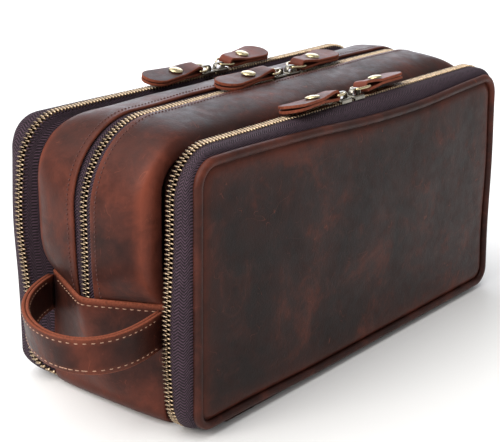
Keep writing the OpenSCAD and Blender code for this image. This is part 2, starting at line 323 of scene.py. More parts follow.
def even_frames(x, z, y, pitch, phase=0.0):
    """Places at an even pitch along one path, with axes along it, across it and outwards."""
    x, z = x[:, 0], z[:, 0]
    gone = along_length(x[:, None], z[:, None])[:, 0]
    at = np.arange(pitch * (0.5 + phase), gone[-1] - pitch * 0.25, pitch)
    x0, z0 = np.interp(at, gone, x), np.interp(at, gone, z)
    step = pitch * 0.4
    tx = np.interp(at + step, gone, x) - np.interp(at - step, gone, x)
    tz = np.interp(at + step, gone, z) - np.interp(at - step, gone, z)
    size = np.hypot(tx, tz)
    tx, tz = tx / size, tz / size
    zero, one = np.zeros_like(at), np.ones_like(at)
    axes = np.stack([np.stack([tx, zero, tz], 1), np.stack([zero, one, zero], 1),
                     np.stack([-tz, zero, tx], 1)], 1)
    return grid_of(x0, y, z0), axes


def smooth(t):
    """A smooth step from 0 to 1: 3t^2 - 2t^3."""
    t = np.clip(t, 0, 1)
    return t * t * (3 - 2 * t)


def bell(distance, width):
    """A bell curve, 1 at no distance: exp(-(distance / width)^2)."""
    return np.exp(-((distance / width) ** 2))


def grid_of(x, y, z):
    """Points from x, y and z, each spread over the others' shape."""
    return np.stack(np.broadcast_arrays(x, y, z), -1)


def carried(line, side, out, across):
    """A section carried along a line of x and z: out is how far each point of the section lies
    along the line's own side, and across is its y."""
    return grid_of(line[:, :1] + side[:, :1] * out, across, line[:, 1:] + side[:, 1:] * out)


def soft_dents(points, depth):
    """Slow hollows and swells: three crossed sine waves of 60 to 140 mm, in x, y and z."""
    x, y, z = points[..., 0], points[..., 1], points[..., 2]
    wave = (np.sin(61 * x + 34 * y + 1.3) * np.sin(47 * z - 25 * x + 0.6)
            + 0.6 * np.sin(83 * z + 52 * y - 2.1) * np.sin(44 * x + 0.9))
    ends = 0.5 * np.sign(x) * smooth((np.abs(x) - 90 * MM) / (40 * MM))
    out = np.stack([ends, 0.35 * np.sign(y), 0.6 + 0 * z], -1)
    level = np.clip(z / 0.03, 0, 1)
    return points + out * (depth * wave * level)[..., None]


# ---------------------------------------------------------------- material helpers


def new_material(name):
    """An empty material with its shader and output."""
    material = bpy.data.materials.new(name)
    material.use_nodes = True
    tree = material.node_tree
    tree.nodes.clear()
    output = tree.nodes.new("ShaderNodeOutputMaterial")
    shader = tree.nodes.new("ShaderNodeBsdfPrincipled")
    tree.links.new(shader.outputs[0], output.inputs[0])
    return material, shader


def feed(made, inputs):
    """Sets or links a node's inputs by name or number."""
    for key, value in inputs.items():
        if isinstance(value, bpy.types.NodeSocket):
            made.id_data.links.new(value, made.inputs[key])
        else:
            made.inputs[key].default_value = value


def add(shader, kind, inputs, out=0, stops=(), **settings):
    """Adds a node beside the shader and gives one of its outputs. An input is a value or a
    socket, stops are a ramp's places and colours, and settings are the node's own."""
    made = shader.id_data.nodes.new("ShaderNode" + kind)
    for key, value in settings.items():
        setattr(made, key, value)
    feed(made, inputs)
    for number, (place, value) in enumerate(stops):
        elements = made.color_ramp.elements
        element = elements[number] if number < len(elements) else elements.new(place)
        element.position, element.color = place, rgba(value)
    return made.outputs[out]


def rgba(value):
    """A colour, or one level of grey, with full alpha."""
    return (*np.broadcast_to(np.asarray(value, float), 3), 1.0)


def waxed_leather(name, tones, red_share=0.5, shade=1.0):
    """Crazy-horse leather: a waxed and buffed hide. It clouds from dark brown to red where it is
    rubbed or bent, shows fine pale scratches, and has a low waxy gloss over a smooth grain."""
    material, shader = new_material(name)
    where = add(shader, "TexCoord", {}, "Object")
    clouds = add(shader, "TexNoise", {"Vector": where, "Scale": 26, "Detail": 5, "Roughness": 0.62,
                 "Distortion": 0.6})  # patches about 40 mm across
    mottle = add(shader, "TexNoise", {"Vector": where, "Scale": 140, "Detail": 4,
                 "Roughness": 0.6})  # mottling about 7 mm across
    grain = add(shader, "TexNoise", {"Vector": where, "Scale": 620, "Detail": 6,
                "Roughness": 0.7})  # grain about 1.5 mm across, as coarse as it shows
    pores = add(shader, "TexVoronoi", {"Vector": where, "Scale": 900})  # about 1 mm apart
    worn = add(shader, "Attribute", {}, "Fac", attribute_name="rub")
    raw = add(shader, "Attribute", {}, "Fac", attribute_name="raw")
    tone = add(shader, "Mix", {0: 0.28, 2: clouds, 3: mottle})
    # shade darkens the dark and mid tones: for the side panels' copy this is painted shade, and the
    # strap's copy is darker too
    dark, mid = (shade * np.array(c) for c in (tones.leather_dark, tones.leather_mid))
    light = 0.5 * mid + 0.5 * np.array(tones.leather_red)
    base = add(shader, "ValToRGB", {0: tone}, stops=((0.38, dark), (0.54, mid), (0.74, light)))
    # Rubbed places go red, more where the clouds are light. Along the gussets' shoulders the rub
    # also carries a painted highlight
    ready = add(shader, "ValToRGB", {0: tone}, stops=((0.32, 0.35), (0.6, 1.0)))
    patch = add(shader, "TexNoise", {"Vector": where, "Scale": 55, "Detail": 5, "Roughness": 0.65,
                "Distortion": 1.2})  # scuffs about 18 mm across
    scuffs = add(shader, "ValToRGB", {0: patch}, stops=((0.52, 0.0), (0.72, 0.34 * red_share)))
    lift = add(shader, "Math", {0: worn, 1: ready, 2: scuffs}, operation="MULTIPLY_ADD",
               use_clamp=True)
    base = add(shader, "Mix", {0: lift, 6: base, 7: rgba(tones.leather_red)}, 2, data_type="RGBA")
    # Hair-fine upright streaks, 2 mm apart and 25 mm long, in patches
    drawn = add(shader, "Mapping", {"Vector": where, "Scale": (1, 1, 0.08)})
    hair = add(shader, "TexNoise", {"Vector": drawn, "Scale": 520, "Detail": 3, "Roughness": 0.6})
    streaks = add(shader, "ValToRGB", {0: hair}, stops=((0.56, 0.0), (0.7, 1.0)))
    streaks = add(shader, "Math", {0: streaks, 1: scuffs}, operation="MULTIPLY")
    # Scratches: thin contour lines of slow noise, paler than the hide
    drift = add(shader, "TexNoise", {"Vector": where, "Scale": 19, "Detail": 2, "Distortion": 2.4})
    line = add(shader, "Math", {0: drift, 1: 0.5, 2: 0.002}, operation="COMPARE")
    some = add(shader, "ValToRGB", {0: mottle}, stops=((0.5, 0.0), (0.6, 0.3)))
    marks = add(shader, "Math", {0: line, 1: some, 2: streaks}, operation="MULTIPLY_ADD",
                use_clamp=True)
    base = add(shader, "Mix", {0: marks, 6: base, 7: rgba(tones.edge_tan)}, 2, data_type="RGBA")
    # A raw edge shows the hide's pale fibres, drawn 1 mm across
    fibre = add(shader, "TexNoise", {"Vector": where, "Scale": 1000, "Detail": 3})
    edge = add(shader, "ValToRGB", {0: fibre}, stops=(
        (0.35, [c * 0.6 for c in tones.edge_tan]), (0.62, tones.edge_tan)))
    base = add(shader, "Mix", {0: raw, 6: base, 7: edge}, 2, data_type="RGBA")
    gloss = add(shader, "ValToRGB", {0: mottle}, stops=((0.35, 0.36), (0.65, 0.5)))
    gloss = add(shader, "Math", {0: raw, 1: 0.35, 2: gloss}, operation="MULTIPLY_ADD",
                use_clamp=True)
    height = add(shader, "Mix", {0: 0.4, 2: grain, 3: mottle})
    height = add(shader, "Math", {0: pores, 1: 0.2, 2: height}, operation="MULTIPLY_ADD")
    height = add(shader, "Math", {0: marks, 1: -0.5, 2: height}, operation="MULTIPLY_ADD")
    bump = add(shader, "Bump", {"Height": height, "Strength": 0.3, "Distance": 0.0006})
    feed(shader, {"Base Color": base, "Roughness": gloss, "Normal": bump, "IOR": 1.4,
                  "Specular IOR Level": 0.2})
    return material


def woven_tape(name, tones):
    """Herringbone zip tape woven from polyester: ribs lean one way, then the other, in columns
    2.4 mm wide. A rib each 1.7 mm is as fine as it shows. u and v are millimetres along and
    across the tape."""
    material, shader = new_material(name)
    place = add(shader, "UVMap", {})
    along = add(shader, "SeparateXYZ", {0: place}, "X")
    across = add(shader, "SeparateXYZ", {0: place}, "Y")
    fold = add(shader, "Math", {0: across, 1: 2.4}, operation="PINGPONG")
    slant = add(shader, "Math", {0: fold, 1: along}, operation="ADD")
    turn = add(shader, "Math", {0: slant, 1: 2 * math.pi / 1.7}, operation="MULTIPLY")
    wave = add(shader, "Math", {0: turn}, operation="SINE")
    rib = add(shader, "Math", {0: wave, 1: 0.5, 2: 0.5}, operation="MULTIPLY_ADD")
    where = add(shader, "TexCoord", {}, "Object")
    yarn = add(shader, "TexNoise", {"Vector": where, "Scale": 700, "Detail": 3})
    light = add(shader, "Math", {0: rib, 1: yarn}, operation="MULTIPLY")
    # Rib crests are coloured lighter and the grooves darker: painted highlight and painted shade on
    # the weave's relief, broken by the yarn's own unevenness
    base = add(shader, "ValToRGB", {0: light}, stops=((0.06, tones.tape), (0.5, tones.tape_rib_highlight)))
    bump = add(shader, "Bump", {"Height": rib, "Strength": 0.8, "Distance": 0.0005})
    feed(shader, {"Base Color": base, "Roughness": 0.8, "Normal": bump, "IOR": 1.45,
                  "Specular IOR Level": 0.35})
    return material


def metal(name, tone, rough, tarnish=0.35, scale=260):
    """Cast or stamped metal, tumbled bright and gone a little dull in its hollows."""
    material, shader = new_material(name)
    where = add(shader, "TexCoord", {}, "Object")
    cloud = add(shader, "TexNoise", {"Vector": where, "Scale": scale, "Detail": 4})
    fine = add(shader, "TexNoise", {"Vector": where, "Scale": scale * 3, "Detail": 3})
    base = add(shader, "ValToRGB", {0: cloud}, stops=(
        (0.34, [c * (1 - tarnish) for c in tone]), (0.6, tone)))
    gloss = add(shader, "ValToRGB", {0: fine}, stops=((0.3, rough * 0.8), (0.7, rough * 1.3)))
    bump = add(shader, "Bump", {"Height": cloud, "Strength": 0.1, "Distance": 0.0002})
    feed(shader, {"Base Color": base, "Metallic": 1.0, "Roughness": gloss, "Normal": bump})
    return material


def waxed_thread(name, tone):
    """Twisted polyester thread, waxed: fine slanted plies 0.9 mm apart and a low sheen."""
    material, shader = new_material(name)
    where = add(shader, "TexCoord", {}, "Object")
    ply = add(shader, "TexWave", {"Vector": where, "Scale": 420, "Distortion": 1.5}, "Fac",
              bands_direction="DIAGONAL")
    # The grooves between the plies are coloured darker: painted shade
    base = add(shader, "ValToRGB", {0: ply}, stops=((0.0, [c * 0.6 for c in tone]), (0.8, tone)))
    bump = add(shader, "Bump", {"Height": ply, "Strength": 0.3, "Distance": 0.0002})
    feed(shader, {"Base Color": base, "Roughness": 0.6, "Normal": bump, "Sheen Weight": 0.1})
    return material


def cotton(name, tone):
    """Plain-woven cotton lining: warp and weft threads 0.8 mm apart, matt."""
    material, shader = new_material(name)
    where = add(shader, "TexCoord", {}, "Object")
    warp = add(shader, "TexWave", {"Vector": where, "Scale": 390, "Distortion": 0.4}, "Fac",
               bands_direction="X")
    weft = add(shader, "TexWave", {"Vector": where, "Scale": 390, "Distortion": 0.4}, "Fac",
               bands_direction="Z")
    weave = add(shader, "Math", {0: warp, 1: weft}, operation="MULTIPLY")
    # Where warp and weft leave gaps the colour is darker: painted shade between the threads
    base = add(shader, "ValToRGB", {0: weave}, stops=((0.0, [c * 0.62 for c in tone]), (0.7, tone)))
    bump = add(shader, "Bump", {"Height": weave, "Strength": 0.4, "Distance": 0.0003})
    feed(shader, {"Base Color": base, "Roughness": 0.85, "Normal": bump, "Sheen Weight": 0.2})
    return material


def pressed_board(name, tone):
    """Grey-brown pressed fibre board: short flecks in a matt ground."""
    material, shader = new_material(name)
    where = add(shader, "TexCoord", {}, "Object")
    fleck = add(shader, "TexNoise", {"Vector": where, "Scale": 420, "Detail": 6, "Roughness": 0.75})
    base = add(shader, "ValToRGB", {0: fleck}, stops=((0.35, [c * 0.7 for c in tone]), (0.62, tone)))
    bump = add(shader, "Bump", {"Height": fleck, "Strength": 0.2, "Distance": 0.0003})
    feed(shader, {"Base Color": base, "Roughness": 0.9, "Normal": bump})
    return material


def finish(name):
    """A finished material by name, made once."""
    if name in bpy.data.materials:
        return bpy.data.materials[name]
    tones = bpy.context.scene.kit_bag_colours
    makers = {
        "waxed_leather": lambda: waxed_leather(name, tones),
        # The side panels' copy: its dark and mid tones times 0.6 are painted shade, with less red
        "panel_leather_painted_shade": lambda: waxed_leather(name, tones, 0.35, 0.6),
        "waxed_strap_leather": lambda: waxed_leather(name, tones, 0.25, 0.75),
        "herringbone_tape": lambda: woven_tape(name, tones),
        "antique_brass": lambda: metal(name, tones.brass, 0.28, 0.45, 500),
        "pale_brass": lambda: metal(name, tones.rivet, 0.22, 0.12),
        "dark_nickel": lambda: metal(name, tones.nickel, 0.2, 0.45, 220),
        "red_brown_thread": lambda: waxed_thread(name, tones.thread_dark),
        "beige_thread": lambda: waxed_thread(name, tones.thread_pale),
        "cotton_lining": lambda: cotton(name, tones.lining),
        "fibre_board": lambda: pressed_board(name, tones.board),
    }
    return makers[name]()


# ---------------------------------------------------------------- the bag's own surfaces

TOP_POWER = 2.6  # squareness of the dome's section over the top
END_POWER = 3.4  # and down the ends, where the leather rolls over sharply at the seams
BLUNT = 0.09  # how round the ridge above the strap is, as a share of the seam's y
PINCH_HIGH = 30 * MM  # how far up the pinch of the ends reaches
PINCH_POWER = 2.6
SEAM_CORNER = 17 * MM  # radius of the middle leather's upper corners at a seam
CROWN_CORNER = 47 * MM  # and along its crown
RIDGE_CORNER = 26 * MM  # of a pocket zip's upper corners
PIPING_CORNER = 12 * MM  # of the piping's upper corners
FOOT_CORNER = 11 * MM  # and of its lower ones
CHAIN_HALF = 2.9 * MM  # half the width of a closed zip's teeth
TAPE_T = 0.7 * MM
SEWN_GAP = 0.1 * MM  # between layers that are sewn together
CHAIN_DENTS = 0.12  # the zips' share of the soft dents, small enough for the sliders to run on
BASE_FOOT_R = 9 * MM
FOOT_BULGE = 3 * MM  # how far the base's ends bulge between the seams, just over the floor
HIDDEN_LAP = 9 * MM  # how far the domed leather runs down behind the base leather


def crown_share(y, power=TOP_POWER):
    """Height of the dome at y, from 0 at a seam to 1 at the middle: (1 - |y/seam|^p)^(1/p)."""
    t = np.clip(np.abs(y) / SEAM_Y, 0, 1)
    return (1 - t**power) ** (1 / power)


def ridge_share(y):
    """The same where the strap's seam pulls the end to a blunt ridge: 1 - |y/seam|, rounded."""
    t = np.clip(np.abs(y) / SEAM_Y, 0, 1)
    blunt = math.sqrt(1 + BLUNT**2) - BLUNT
    return 1 - (np.sqrt(t**2 + BLUNT**2) - BLUNT) / blunt


def body_columns(y, depth, sizes):
    """Half length, top and corner radius of the middle leather at y, a depth under its face."""
    end, top_share = crown_share(y, END_POWER), crown_share(y)
    half = PANEL_HALF - sizes.valley + (sizes.dome_end + sizes.valley) * end - depth
    top = PANEL_TOP - sizes.valley + (sizes.dome_top + sizes.valley) * top_share - depth
    corner = SEAM_CORNER + (CROWN_CORNER - SEAM_CORNER) * top_share**1.5 - depth
    return half, top, np.maximum(corner, 6 * MM)


def pinch(points, sizes):
    """Draws the ends in towards the base's blunt ridge: by the difference between the two
    sections, in full at the base's upper edge and fading as (1 - height/high)^power above it."""
    x, y, z = points[..., 0], points[..., 1], points[..., 2]
    level = np.clip((BASE_TOP + PINCH_HIGH - z) / PINCH_HIGH, 0, 1) ** PINCH_POWER
    ends = smooth((np.abs(x) - (PANEL_HALF - 30 * MM)) / (20 * MM))
    drop = (sizes.dome_end + sizes.valley) * (crown_share(y, END_POWER) - ridge_share(y))
    out = points.copy()
    out[..., 0] -= np.sign(x) * drop * level * ends
    return out


def soften(points, sizes, share=1.0):
    """The bag's own unevenness: the pinched ends, then soft dents."""
    return soft_dents(pinch(points, sizes), sizes.dents * share)


def body_section(y0, y1, wall, sizes):
    """A thick strip of the dome's section from y0 to y1, as y, the depth under the face, and how
    far each point is on the cut edge at y1."""
    t = np.linspace(0, 1, 24)
    y = y0 + (y1 - y0) * (1 - (1 - t) ** 1.6)
    rise = sizes.dome_end + sizes.valley
    loop = thick(np.stack([y, rise * crown_share(y)], 1), wall)
    depth = rise * crown_share(loop[:, 0]) - loop[:, 1]
    raw = np.concatenate([t * 0, [1] * 3, t * 0, [0] * 3])
    return loop[:, 0], depth, raw


def gusset(half_name, sizes):
    """A domed strip of leather over the top and down both ends, beside the middle zip."""
    side = HALVES[half_name]
    y, depth, raw = body_section(SEAM_Y - SEWN_GAP, MOUTH_Y, sizes.leather, sizes)
    half, top, corner = body_columns(y, depth, sizes)
    x, z = arch_grid(half, top, corner, BASE_TOP - HIDDEN_LAP, counts=(0, 0, 30, 30, 50))
    grid = soften(grid_of(x, side * y, z), sizes)
    near_mouth = bell(np.abs(y) - MOUTH_Y, 2.6 * MM)
    # At the ends the red along each shoulder is partly pull-up leather lightening over the bend and
    # partly a painted highlight where the shoulder rolls over
    shoulder = bell(np.abs(y) - 0.9 * SEAM_Y, 3.2 * MM)
    ends = smooth((np.abs(x) - PANEL_HALF + 30 * MM) / (40 * MM))
    bend = bell(np.abs(x) - PANEL_HALF, 22 * MM) * (z > PANEL_TOP - 45 * MM)
    rub = np.clip(0.3 * near_mouth + 0.8 * shoulder * ends + 0.25 * bend + 0.06 * ends, 0, 1)
    shell = Shell().loft(grid, rub=rub, raw=0.25 * raw)
    return shell.piece(half_name + "_gusset_leather", finish("waxed_leather"),
                       HALF_BODY[half_name], "leather", [half_name + "_gusset"])


def main_tape(half_name, sizes):
    """Zip tape under the leather edges, from the teeth to a hidden edge."""
    side = HALVES[half_name]
    count = 8
    y = np.linspace(CHAIN_HALF - 0.9 * MM, MOUTH_Y + 7 * MM, count)
    y = np.concatenate([y, y[::-1]])
    under = sizes.leather + SEWN_GAP
    depth = np.concatenate([np.full(count, under), np.full(count, under + TAPE_T)])
    half, top, corner = body_columns(y, depth, sizes)
    x, z = arch_grid(half, top, corner, BASE_TOP - HIDDEN_LAP, counts=(0, 0, 30, 30, 50))
    grid = soften(grid_of(x, side * y, z), sizes, CHAIN_DENTS)
    u = along_length(x, z) / MM
    shell = Shell().loft(grid, u=u, v=y / MM)
    return shell.piece(half_name + "_main_zip_tape", finish("herringbone_tape"),
                       HALF_BODY[half_name], "zip_tape", [half_name + "_main_tape"])


def small_tooth():
    """A cast tooth: eight-sided rings along y, broad at its root, waisted, with a rounded head."""
    at = np.array([-1.6, -1.35, 0.2, 0.9, 1.6, 1.95]) * MM
    wide = np.array([0.34, 0.5, 0.52, 0.4, 0.5, 0.3]) * MM
    tall = np.array([0.7, 1.15, 1.2, 1.0, 1.1, 0.65]) * MM
    turn = np.radians(np.arange(8) * 45 + 22.5)
    ring = np.stack([np.cos(turn), 0 * turn, np.sin(turn)], 1)
    grid = ring[None] * np.stack([wide, 0 * at, tall], 1)[:, None]
    grid[:, :, 1] += at[:, None]
    return grid.reshape(-1, 3), ring_faces(len(at), 8, False)


def tooth_row(name, body, replaced, path, y, towards, phase, sizes):
    """One row of teeth along a path of x and z, each tooth pointing towards the other row."""
    shape, faces = small_tooth()
    places, axes = even_frames(*path, y, sizes.tooth_pitch, phase)
    places = soften(places, sizes, CHAIN_DENTS)
    shell = Shell().repeat(shape * [1, towards, 1], faces, places, axes)
    return shell.piece(name, finish("antique_brass"), body, "brass_teeth", [replaced])


def main_teeth(half_name, sizes):
    """The middle zip's row of teeth on one half."""
    side = HALVES[half_name]
    half, top, corner = body_columns(np.array([0.0]), sizes.leather + 0.35 * MM, sizes)
    path = arch_grid(half, top, corner, BASE_TOP - 6 * MM, counts=(0, 0, 40, 60, 60))
    return tooth_row(half_name + "_main_zip_teeth", HALF_BODY[half_name],
                     half_name + "_main_teeth", path, side * 1.35 * MM, -side,
                     0.0 if side < 0 else 0.5, sizes)


FOOT_TURN = {"front": 2 * MM, "rear": 10 * MM}  # how far a zip's ends turn in, under the corners
# How far a zip swells at the ends, at what height, and over what height
END_SWELL = {"front": (3.8 * MM, 55 * MM, 40 * MM), "rear": (5.2 * MM, 98 * MM, 38 * MM)}


def pocket_path(y, lift, corner, **options):
    """Columns of a pocket's zip, that start under the bag and wrap its lower corners."""
    foot = np.maximum(2.3 * MM - lift * 0.25, 1.0 * MM)
    turn = FOOT_CORNER + 9 * MM * np.clip((PIPING_Y - y) / (PIPING_Y - RIDGE_Y), 0, 1)
    return arch_grid(PANEL_HALF + lift, PANEL_TOP + lift, corner, foot, STRIP_END_X + 1 * MM,
                     turn, **options)


def sway(points, half_name, share):
    """Moves a pocket's zip as the full bag pushes it: out at the ends by a bell curve in z, and in
    towards the seam under a lower corner, both by each point's share."""
    out = points.copy()
    x, z = points[..., 0], points[..., 2]
    most, level, spread = END_SWELL[half_name]
    ends = smooth((np.abs(x) - (PANEL_HALF - 25 * MM)) / (20 * MM))
    out[..., 0] += np.sign(x) * most * bell(z - level, spread) * share * ends
    turn = FOOT_TURN[half_name] * smooth((15 * MM - z) / (14 * MM))
    out[..., 1] -= HALVES[half_name] * turn * share
    return out


def pocket_tape(half_name, outer, sizes):
    """Half of a pocket's zip tape. The outer one rolls from the teeth over to the piping, as a
    quarter of a superellipse, and the inner one dips from the teeth down to the seam."""
    side = HALVES[half_name]
    high = RIDGE_TOP - 1.2 * MM
    t = np.linspace(0, 1, 12)
    if outer:
        start, end, low = RIDGE_Y + 2.0 * MM, PIPING_Y - 1.0 * MM, -0.6 * MM
        lift = low + (high - low) * (1 - t**4) ** 0.5
        corner = RIDGE_CORNER + (PIPING_CORNER + 2 * MM - RIDGE_CORNER) * t**1.5
    else:
        start, end, low = RIDGE_Y - 2.0 * MM, SEAM_Y + 0.2 * MM, -sizes.valley
        lift = high + (low - high) * t - 0.9 * MM * np.sin(math.pi * t)
        corner = RIDGE_CORNER + (SEAM_CORNER - RIDGE_CORNER) * t
    y = start + (end - start) * t
    across = np.concatenate([[0], np.cumsum(np.hypot(np.diff(y), np.diff(lift)))])
    y, across, t = (np.concatenate([a, a[::-1]]) for a in (y, across, t))
    lift, corner = (np.concatenate([a, (a - TAPE_T)[::-1]]) for a in (lift, corner))
    x, z = pocket_path(y, lift, corner)
    grid = grid_of(x, side * y, z)
    grid = settle(sway(grid, half_name, 1 - t**2), t**2 if outer else 0 * t)
    grid = soft_dents(grid, sizes.dents * CHAIN_DENTS)
    u = along_length(x, z) / MM
    body = PANEL_BODY[half_name] if outer else HALF_BODY[half_name]
    part = "_panel_tape" if outer else "_pocket_body_tape"
    shell = Shell().loft(grid, u=u, v=across / MM)
    return shell.piece(half_name + part + "_woven", finish("herringbone_tape"), body,
                       "zip_tape", [half_name + part])


def pocket_teeth(half_name, outer, sizes):
    """One row of a pocket's zip."""
    side = HALVES[half_name]
    way = 1 if outer else -1
    lift = np.array([RIDGE_TOP - 1.2 * MM])
    path = pocket_path(lift * 0 + RIDGE_Y, lift, np.array([RIDGE_CORNER]),
                       counts=(12, 30, 40, 50, 60))
    places, axes = even_frames(*path, side * (RIDGE_Y + way * 1.35 * MM), sizes.tooth_pitch,
                               0.0 if outer else 0.5)
    places = soft_dents(sway(places, half_name, 1.0), sizes.dents * CHAIN_DENTS)
    shape, faces = small_tooth()
    shell = Shell().repeat(shape * [1, -side * way, 1], faces, places, axes)
    part = "_panel_teeth" if outer else "_pocket_body_teeth"
    body = PANEL_BODY[half_name] if outer else HALF_BODY[half_name]
    return shell.piece(half_name + part + "_cast", finish("antique_brass"), body,
                       "brass_teeth", [half_name + part])


PANEL_SAG = 5.3 * MM
PANEL_CLEAR = 3.4 * MM  # from the floor to the lower edge at the right, and the left's share more
LEFT_CLEAR = 1.6 * MM
PANEL_LEAN = 0.035  # how far the right edge leans in, as a share of its height


def settle(points, share):
    """Moves a panel as it hangs on a full bag, by each point's share: its upper edge sags by a
    bell curve in x, its right edge leans in as it rises, and its lower edge clears the floor."""
    out = points.copy()
    x, z = points[..., 0], points[..., 2]
    sag = PANEL_SAG * bell(x - 35 * MM, 88 * MM) * smooth(z / PANEL_TOP)
    clear = PANEL_CLEAR + LEFT_CLEAR * smooth((-x - 40 * MM) / (70 * MM))
    rise = clear * (1 - z / PANEL_TOP) ** 2
    out[..., 0] -= PANEL_LEAN * z * smooth((x - 60 * MM) / (90 * MM)) * share
    out[..., 2] += (rise - sag) * share
    return out


PANEL_DRAW = {"front": 0.0, "rear": 1.6 * MM}  # how far the rear panel is drawn in by its tape


def panel_loop(inset, corner, foot_corner):
    """A closed rounded rectangle in the XZ plane: straights joined by quarter circles, inset from
    the panel's outline. Returns x and z, from the middle of the base round by the left end."""
    half, top, low = PANEL_HALF - inset, PANEL_TOP - inset, inset
    x, z = arch_grid(half, top, corner, low, 0.0, foot_corner, counts=(30, 10, 24, 14, 35))
    return x[:-1], z[:-1]


def piping(half_name, sizes):
    """Leather piping: a 5 mm round carried round the side panel's edge."""
    side = HALVES[half_name]
    turn = np.radians(np.arange(0, 360, 22.5))
    out, y = PIPING_R * np.cos(turn), PIPING_R * 1.06 * np.sin(turn)
    x, z = panel_loop(PIPING_R - 1 * MM + PANEL_DRAW[half_name] - out, PIPING_CORNER + out,
                      FOOT_CORNER - 1 * MM + out)
    grid = grid_of(x, side * (PIPING_Y + y), z)
    grid = soft_dents(settle(grid, 1.0), sizes.dents * 0.6)
    crest = np.clip(np.sin(turn) * 0.6 + np.cos(turn) * 0.6, 0, 1)
    corners = bell(np.abs(x) - PANEL_HALF, 14 * MM) * (z > PANEL_TOP - 20 * MM)
    shell = Shell().loft(grid, closed=True, rub=np.clip(0.2 * crest + 0.3 * corners, 0, 1))
    return shell.piece(half_name + "_piping_leather", finish("waxed_leather"),
                       PANEL_BODY[half_name], "piping_leather", [half_name + "_piping"])


def panel(half_name, sizes):
    """A side panel: rings that follow the piping, dip into the groove beside it, roll up onto the
    panel's face and draw in to its middle, with the back a flat sheet."""
    side = HALVES[half_name]
    groove = 2 * PIPING_R - 1.4 * MM
    face = PIPING_Y + PIPING_R - 1.1 * MM
    step = np.array([0, 0.7, 1.5, 2.6, 4.2, 7, 12]) * MM
    rise = np.array([-1.9, -1.8, -1.3, -0.7, -0.25, 0, 0.1]) * MM
    rings = []
    for inset, height in zip(step, rise):
        shrink = groove + PANEL_DRAW[half_name] + inset
        x, z = panel_loop(shrink, max(PIPING_CORNER - 2 * MM - inset * 0.5, 4 * MM),
                          max(FOOT_CORNER - 3 * MM - inset * 0.4, 3.5 * MM))
        rings.append(np.stack([x[:, 0], np.full(len(x), face + height), z[:, 0]], 1))
    last = rings[-1]
    mid_z = (last[:, 2].max() + last[:, 2].min()) / 2
    for share in (0.9, 0.78, 0.64, 0.5, 0.36, 0.22, 0.09):
        ring = last.copy()
        ring[:, 0] *= share
        ring[:, 2] = mid_z + (ring[:, 2] - mid_z) * share
        ring[:, 1] += 1.3 * MM * (1 - share**2)
        rings.append(ring)
    front = np.stack(rings)
    back = front[:1].copy()
    back[..., 1] = face - 2.1 * MM
    tip = back.copy()
    tip[..., 0] *= 0.06
    tip[..., 2] = mid_z + (tip[..., 2] - mid_z) * 0.06
    grid = np.concatenate([tip, back, front])
    grid[..., 1] *= side
    grid[2:] = soft_dents(grid[2:], sizes.dents)  # the back stays flat against its board
    grid = settle(grid, 1.0)
    edge = np.concatenate([[0, 0], np.array([0.05, 0.1, 0.3, 0.45, 0.3, 0.15, 0.05]), np.zeros(7)])
    shell = Shell().loft(grid, rub=edge[:, None])
    # The panel takes the darkened copy of the leather, whose darkening is painted shade
    return shell.piece(half_name + "_panel_hide", finish("panel_leather_painted_shade"),
                       PANEL_BODY[half_name], "leather", [half_name + "_panel_leather"])


def base(sizes):
    """The base leather: up one end, under the bag and up the other end, with raw upper edges that
    lap over the middle zip. Each column at y goes down x = end(y, z), round a foot and along z."""
    lap = sizes.leather + SEWN_GAP
    foot_r = BASE_FOOT_R
    t = np.linspace(-1, 1, 40)
    y = (SEAM_Y - SEWN_GAP) * np.sign(t) * (1 - (1 - np.abs(t)) ** 1.35)
    down = np.linspace(0, 1, 26, endpoint=False)[:, None]
    turn = np.linspace(0, math.pi / 2, 14, endpoint=False)[:, None]
    floor = np.linspace(0, 1, 40)[:, None]

    def surface(depth):
        bulge = (sizes.dome_end + sizes.valley) * ridge_share(y)
        top_x = PANEL_HALF - sizes.valley + bulge + lap - depth
        low_x = PANEL_HALF - FOOT_BULGE * (1 - crown_share(y)) - depth
        ease = down**1.5
        x1 = top_x + (low_x - top_x) * ease
        z1 = BASE_TOP + (foot_r - BASE_TOP) * down
        r = foot_r - depth
        x2 = low_x - r * (1 - np.cos(turn))
        z2 = foot_r - r * np.sin(turn)
        x3 = (low_x - r) * (1 - floor)
        z3 = depth + 0 * x3
        x, z = np.concatenate([x1, x2, x3]), np.concatenate([z1 + 0 * x1, z2 + 0 * x2, z3])
        return np.concatenate([-x, x[-2::-1]]), np.concatenate([z, z[-2::-1]])

    xo, zo = surface(0.0)
    xi, zi = surface(sizes.leather)
    x = np.concatenate([xo, xi[:, ::-1]], 1)
    z = np.concatenate([zo, zi[:, ::-1]], 1)
    ys = np.concatenate([y, y[::-1]])
    grid = grid_of(x, ys, z)
    grid = soft_dents(grid, sizes.dents)
    # The cut edge: two extra rows beyond the last one make it round, and it is raw there
    lips = []
    for row in (grid[0], grid[-1]):
        for rise, shrink in ((0.55, 0.25), (0.85, 0.65)):
            ring = row + (row[::-1] - row) / 2 * shrink
            ring[:, 2] += rise * sizes.leather / 2
            lips.append(ring)
    grid = np.concatenate([lips[1::-1], grid, lips[2:]])
    raw = np.zeros(grid.shape[:2])
    raw[:3] = raw[-3:] = 1
    level = grid[..., 2]
    rub = 0.08 + 0.4 * bell(level - 12 * MM, 12 * MM)
    rub = rub + 0.5 * bell(level - BASE_TOP, 2.5 * MM)
    rub = rub + 0.5 * bell(grid[..., 1], 8 * MM) * (level > 20 * MM)
    shell = Shell().loft(grid, rub=np.clip(rub, 0, 1), raw=raw)
    made = shell.piece("base_leather_skin", finish("waxed_leather"), None, "leather",
                       ["base_leather"])
    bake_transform(made)
    return made


STRAP_OUT = 2.1 * MM  # the strap's two faces, from its middle line
STRAP_IN = -2.0 * MM
STRAP_LEAN = 20 * MM  # how far the middle of the strap leans towards the front
PALE_LONG = 0.66  # a pale stitch's share of its pitch
PALE_THIN = 0.62 * MM


